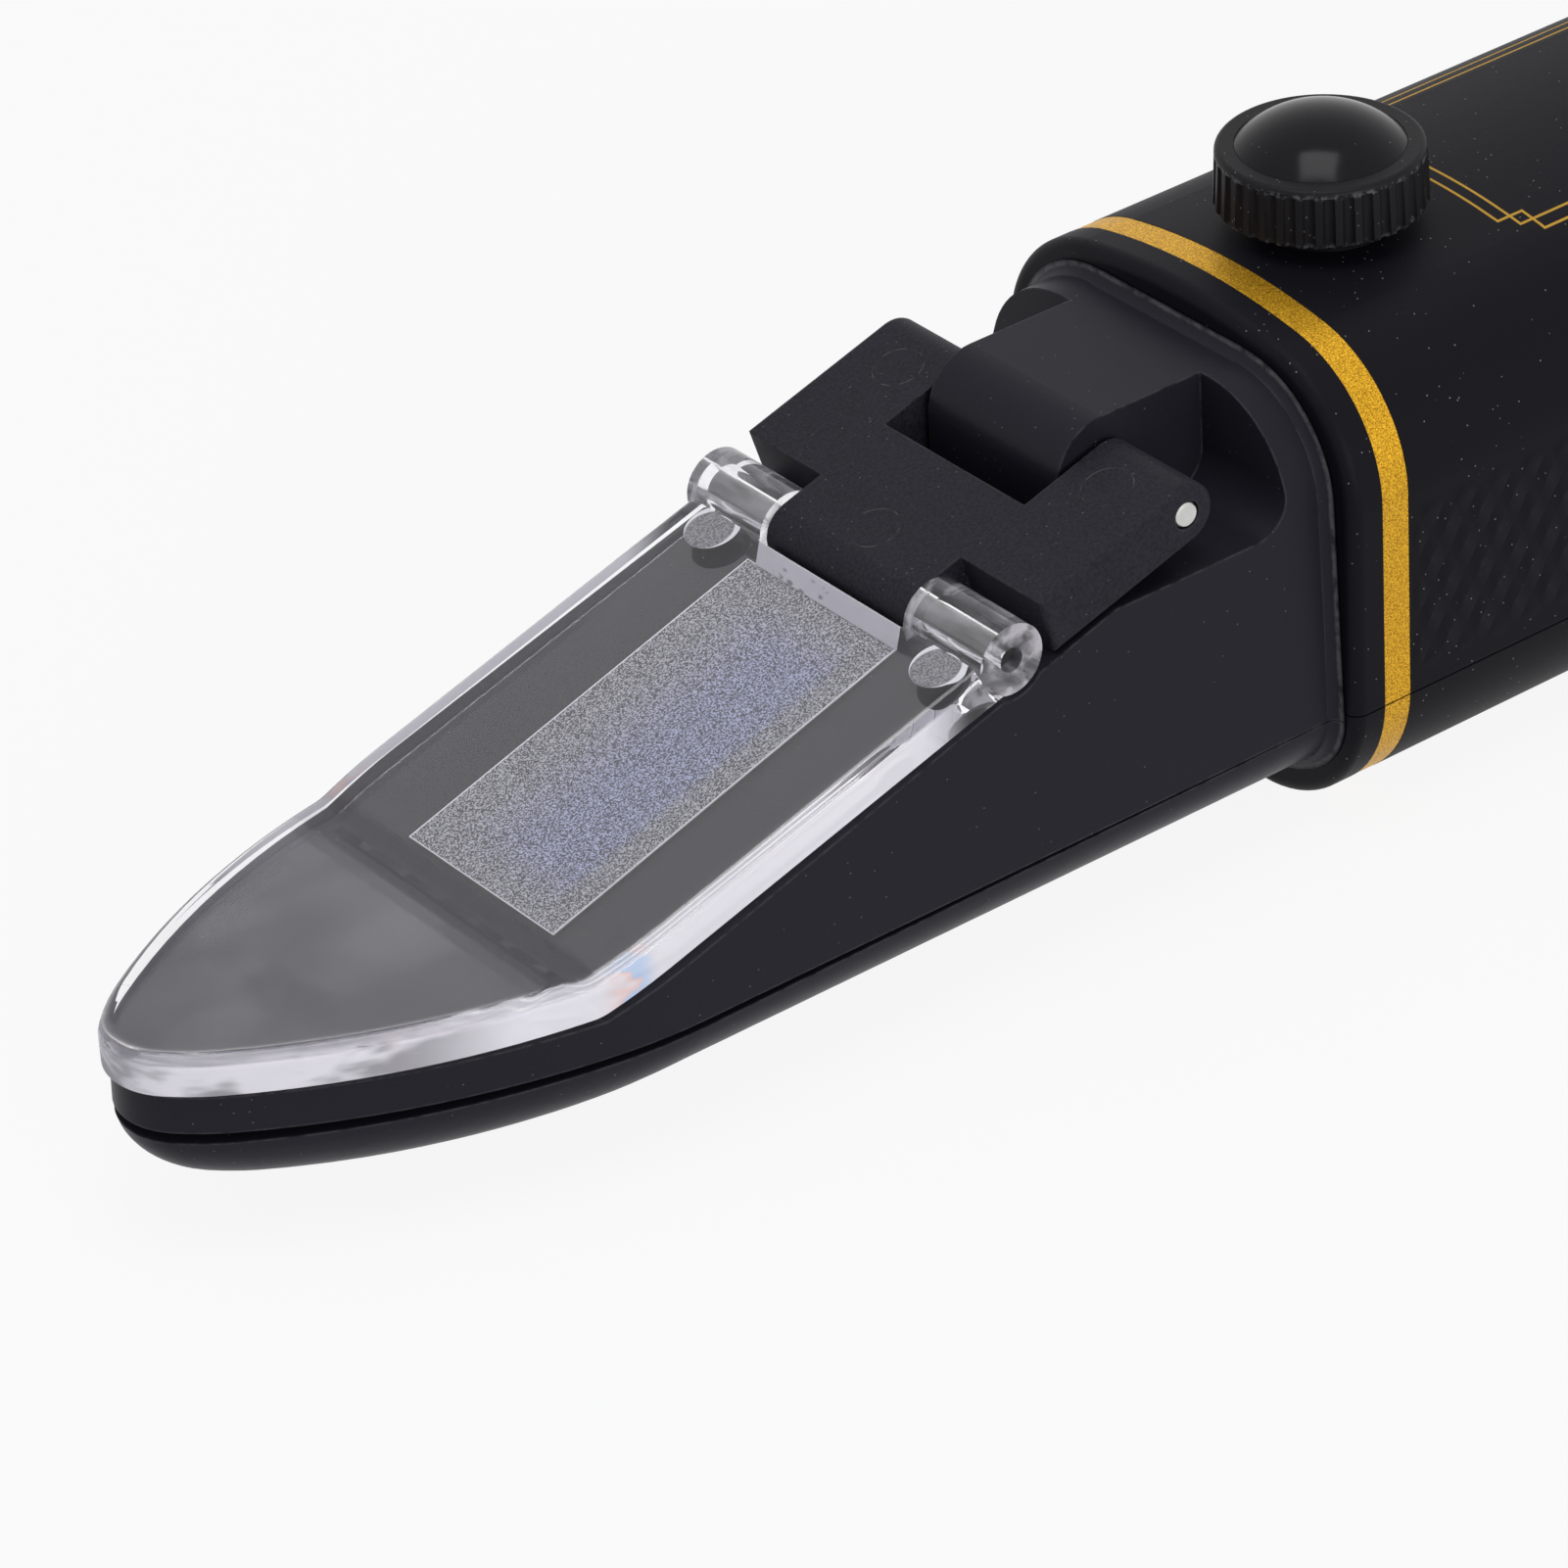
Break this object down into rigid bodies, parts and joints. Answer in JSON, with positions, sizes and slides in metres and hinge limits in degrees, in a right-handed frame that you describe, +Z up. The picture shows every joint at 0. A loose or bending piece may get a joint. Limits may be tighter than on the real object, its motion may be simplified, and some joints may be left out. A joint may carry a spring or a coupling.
{
  "type": "brix refractometer",
  "caption": "Hand-held brix refractometer with a boat-shaped nose, a clear flap hinged over its prism, a black grip, a top knob and a focusing eyepiece.",
  "frame": {"origin": "under the middle of the whole length, at the height of the flat base", "axes": "+X along the instrument from the nose to the eyepiece, +Y to the user's left seen from the eyepiece, +Z up through the knob"},
  "size_m": [0.188, 0.03, 0.0365],
  "materials": {
    "grip_black": "matte",
    "nose_black": "satin",
    "band_gold": "satin",
    "link_black": "matte",
    "clear_plate": "polished",
    "knob_black": "gloss",
    "pin_steel": "brushed",
    "pin_dark": "satin",
    "screw_steel": "satin",
    "prism_glass": "polished",
    "lens_glass": "polished",
    "inner_black": "matte",
    "inner_metal": "satin",
    "soft_rubber": "matte",
    "focus_black": "satin"
  },
  "bodies": {
    "housing": {"body_upper_shell": "grip_black", "body_lower_shell": "grip_black", "gold_band": "band_gold", "nose_upper": "nose_black", "nose_lower": "nose_black", "prism": "prism_glass", "prism_gasket": "soft_rubber", "prism_clamp": "inner_metal", "prism_clamp_screws": "screw_steel", "rear_hinge_pin": "pin_steel", "light_baffle": "inner_black", "knob_washer": "inner_black", "carriage_guide": "inner_metal", "reticle_holder": "inner_black", "reticle": "lens_glass", "reticle_ring": "inner_metal", "eyepiece_socket": "inner_black", "focus_clip": "screw_steel", "shell_screws": "screw_steel", "nose_screws": "screw_steel"},
    "link": {"hinge_link": "link_black", "plate_hinge_pin": "pin_dark"},
    "flap": {"daylight_plate": "clear_plate"},
    "knob": {"calibration_knob": "knob_black", "knob_cap": "knob_black", "calibration_spindle": "pin_steel", "spindle_clip": "screw_steel"},
    "carriage": {"lens_carriage": "inner_black", "objective_lens": "lens_glass", "lens_ring": "inner_metal"},
    "focus": {"focus_ring": "focus_black"},
    "ocular": {"ocular_barrel": "inner_metal", "guide_pin": "screw_steel", "field_lens": "lens_glass", "lens_spacer": "inner_metal", "eye_lens": "lens_glass", "ocular_retainer": "inner_metal", "eyecup": "soft_rubber"}
  },
  "joints": [
    {"name": "link_hinge", "type": "hinge", "parent": "housing", "child": "link", "pos_m": [-0.0307, 0, 0.0243], "axis": [0, 1, 0], "range_deg": [0, 100]},
    {"name": "flap_hinge", "type": "hinge", "parent": "link", "child": "flap", "pos_m": [-0.04332, 0, 0.02044], "axis": [0, 1, 0], "range_deg": [0, 95]},
    {"name": "knob_turn", "type": "hinge", "parent": "housing", "child": "knob", "pos_m": [-0.0096, 0, 0.0309], "axis": [0, 0, 1], "range_deg": [-360, 360]},
    {"name": "carriage_lift", "type": "slide", "parent": "housing", "child": "carriage", "axis": [0, 0, 1], "range_m": [-0.0005, 0.0005]},
    {"name": "focus_turn", "type": "hinge", "parent": "housing", "child": "focus", "pos_m": [0.0634, 0, 0.0149], "axis": [1, 0, 0], "range_deg": [-60, 60]},
    {"name": "ocular_slide", "type": "slide", "parent": "housing", "child": "ocular", "axis": [1, 0, 0], "range_m": [-0.002, 0.002]}
  ],
  "couplings": [
    {"joint": "knob_turn", "follows": "carriage_lift", "rad_per_m": 12566},
    {"joint": "focus_turn", "follows": "ocular_slide", "rad_per_m": 523.6}
  ]
}
